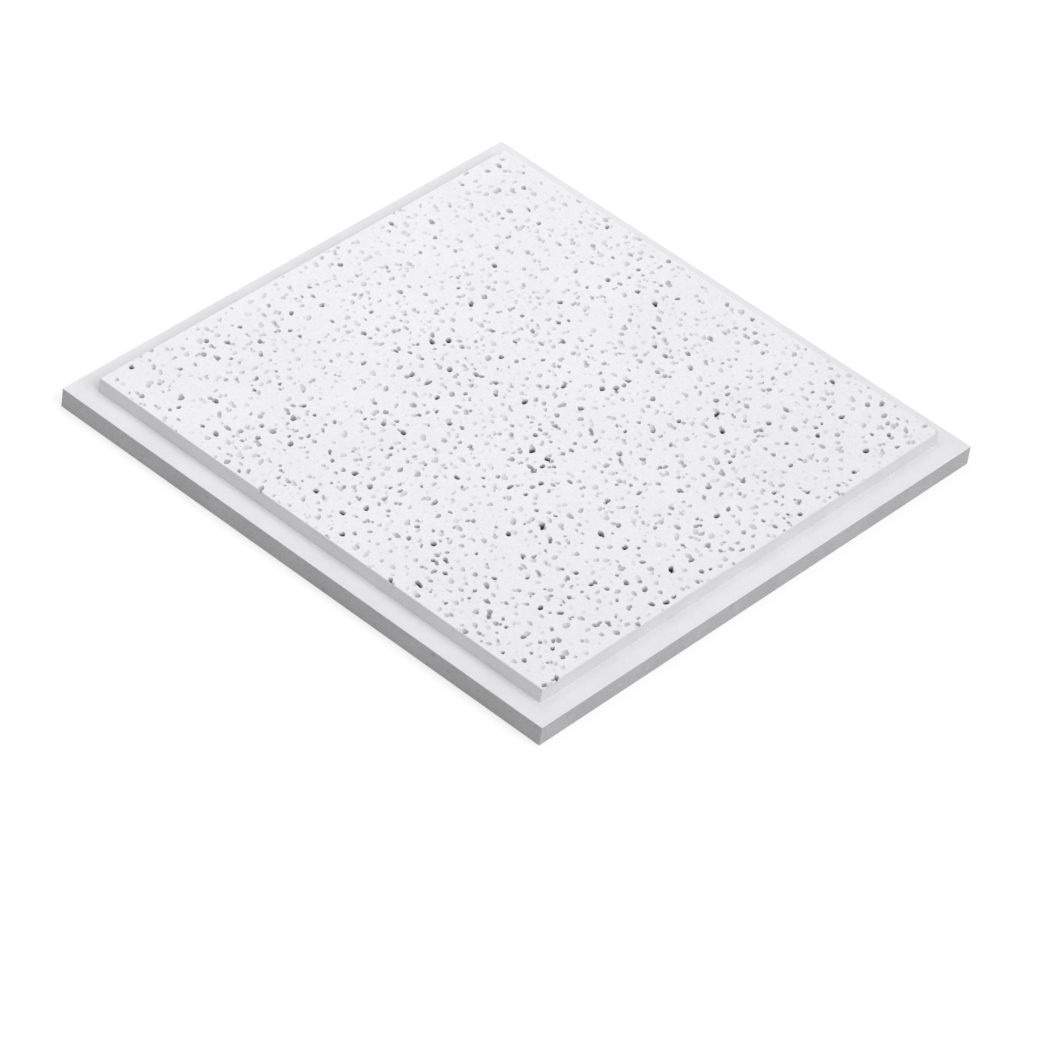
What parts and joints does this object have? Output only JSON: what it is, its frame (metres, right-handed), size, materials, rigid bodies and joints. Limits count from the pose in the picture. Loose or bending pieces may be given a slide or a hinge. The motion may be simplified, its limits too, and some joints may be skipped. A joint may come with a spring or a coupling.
{
  "type": "suspended ceiling tile",
  "caption": "Square ceiling tile of punched mineral fibre. A thin ledge all round it rests on the flanges of a ceiling grid, and the thick middle with the face drops through.",
  "frame": {"origin": "middle of the flat back, which lies on z = 0", "axes": "+Z out of the punched face, from the back to the room side; X and Y along the sides of the square"},
  "size_m": [0.595, 0.595, 0.036],
  "materials": {
    "painted_mineral_fibre": "matt white paint on a punched mineral fibre board; the cut sides and the back are bare grey fibre"
  },
  "bodies": {
    "root": {"tile_board": "painted_mineral_fibre"}
  },
  "joints": []
}
